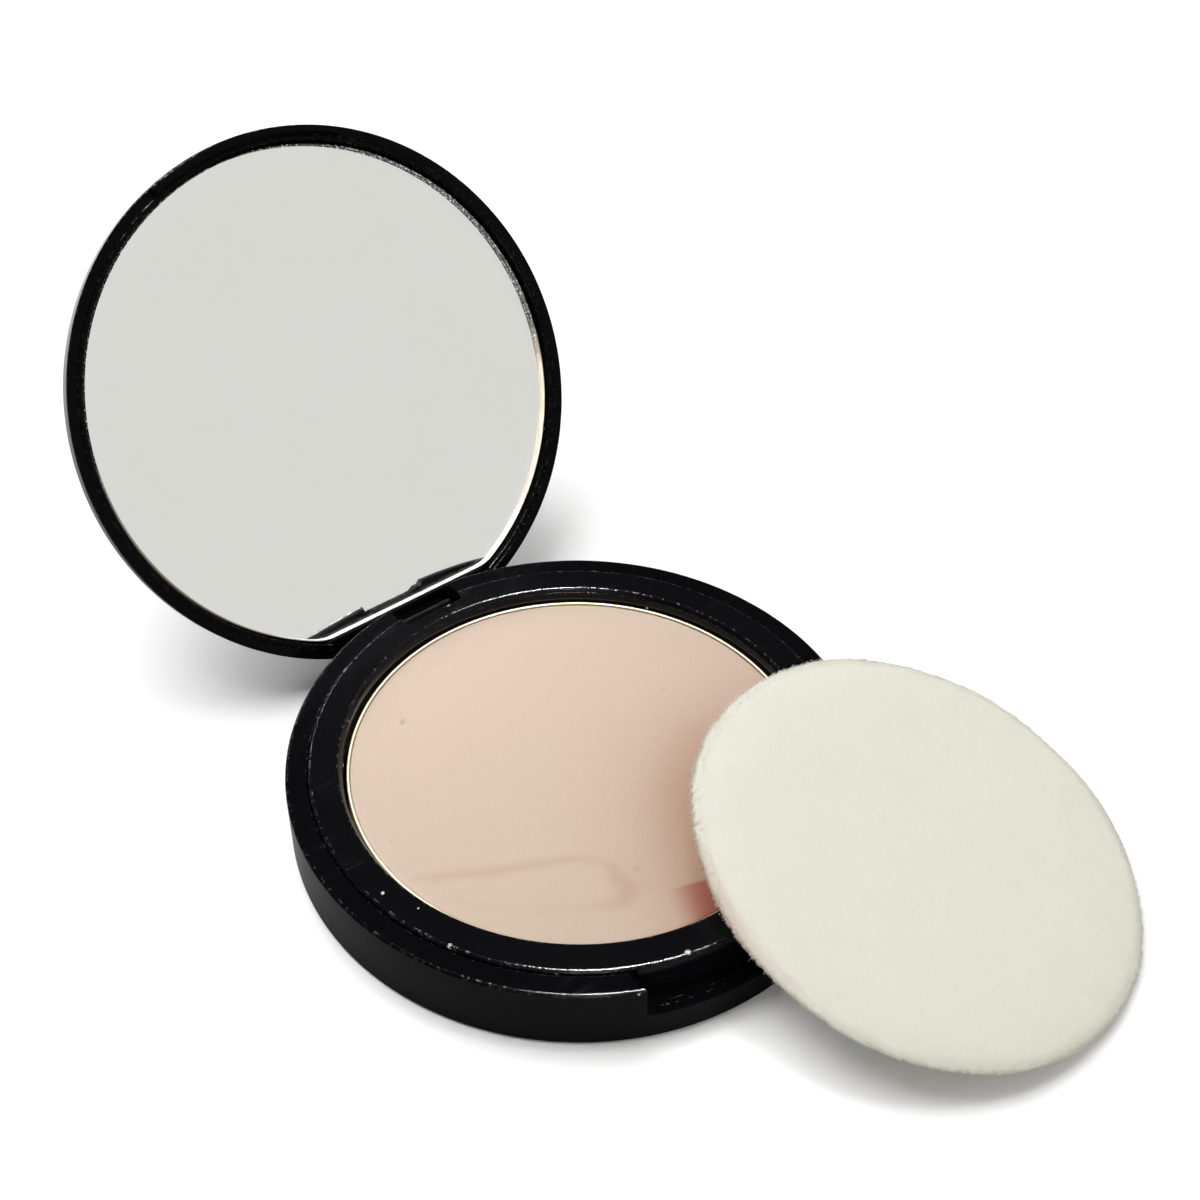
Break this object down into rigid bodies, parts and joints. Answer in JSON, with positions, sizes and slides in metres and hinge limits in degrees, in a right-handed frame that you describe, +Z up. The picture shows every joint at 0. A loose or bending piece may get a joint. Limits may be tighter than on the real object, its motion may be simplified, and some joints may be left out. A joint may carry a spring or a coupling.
{
  "type": "powder compact",
  "caption": "Round black pressed-powder compact, lid open on a rear hinge with a round mirror, a loose velour puff leaning on its front rim.",
  "frame": {"origin": "centre of the base's underside, on the surface that it stands on", "axes": "+Z up, +Y towards the hinge, -Y towards the thumb recess, X along the hinge pin"},
  "size_m": [0.0887, 0.1442, 0.066],
  "materials": {
    "case_black": "gloss black moulded plastic, with a little dust",
    "pan_metal": "thin drawn metal, pale gold lacquer",
    "pressed_powder": "matte pressed powder, peach beige",
    "adhesive_foam": "white foam tape",
    "pin_steel": "plain steel wire",
    "label_paper": "blank satin paper",
    "mirror_glass": "clear float glass with a ground edge",
    "mirror_silver": "silver coat under protective paint",
    "puff_velour": "short ivory velour pile",
    "puff_foam": "soft open foam"
  },
  "bodies": {
    "base": {"base_shell": "case_black", "base_insert": "case_black", "pan": "pan_metal", "pan_adhesive": "adhesive_foam", "powder_cake": "pressed_powder", "hinge_pin": "pin_steel", "underside_label": "label_paper"},
    "lid": {"lid_shell": "case_black", "mirror_frame": "case_black", "mirror_glass": "mirror_glass", "mirror_backing": "mirror_silver", "mirror_adhesive": "adhesive_foam"},
    "puff": {"puff_face": "puff_velour", "puff_filling": "puff_foam", "puff_back": "puff_velour"}
  },
  "joints": [
    {"name": "lid_hinge", "type": "hinge", "parent": "base", "child": "lid", "pos_m": [0, 0.0347, 0.0062], "axis": [-1, 0, 0], "range_deg": [-121.6, 0]},
    {"name": "puff_slide", "type": "slide", "parent": "base", "child": "puff", "axis": [0.4726, -0.8813, 0], "range_m": [0, 0.043]}
  ],
  "couplings": [
    {"joint": "puff_slide", "follows": "lid_hinge", "m_per_rad": -0.02}
  ]
}
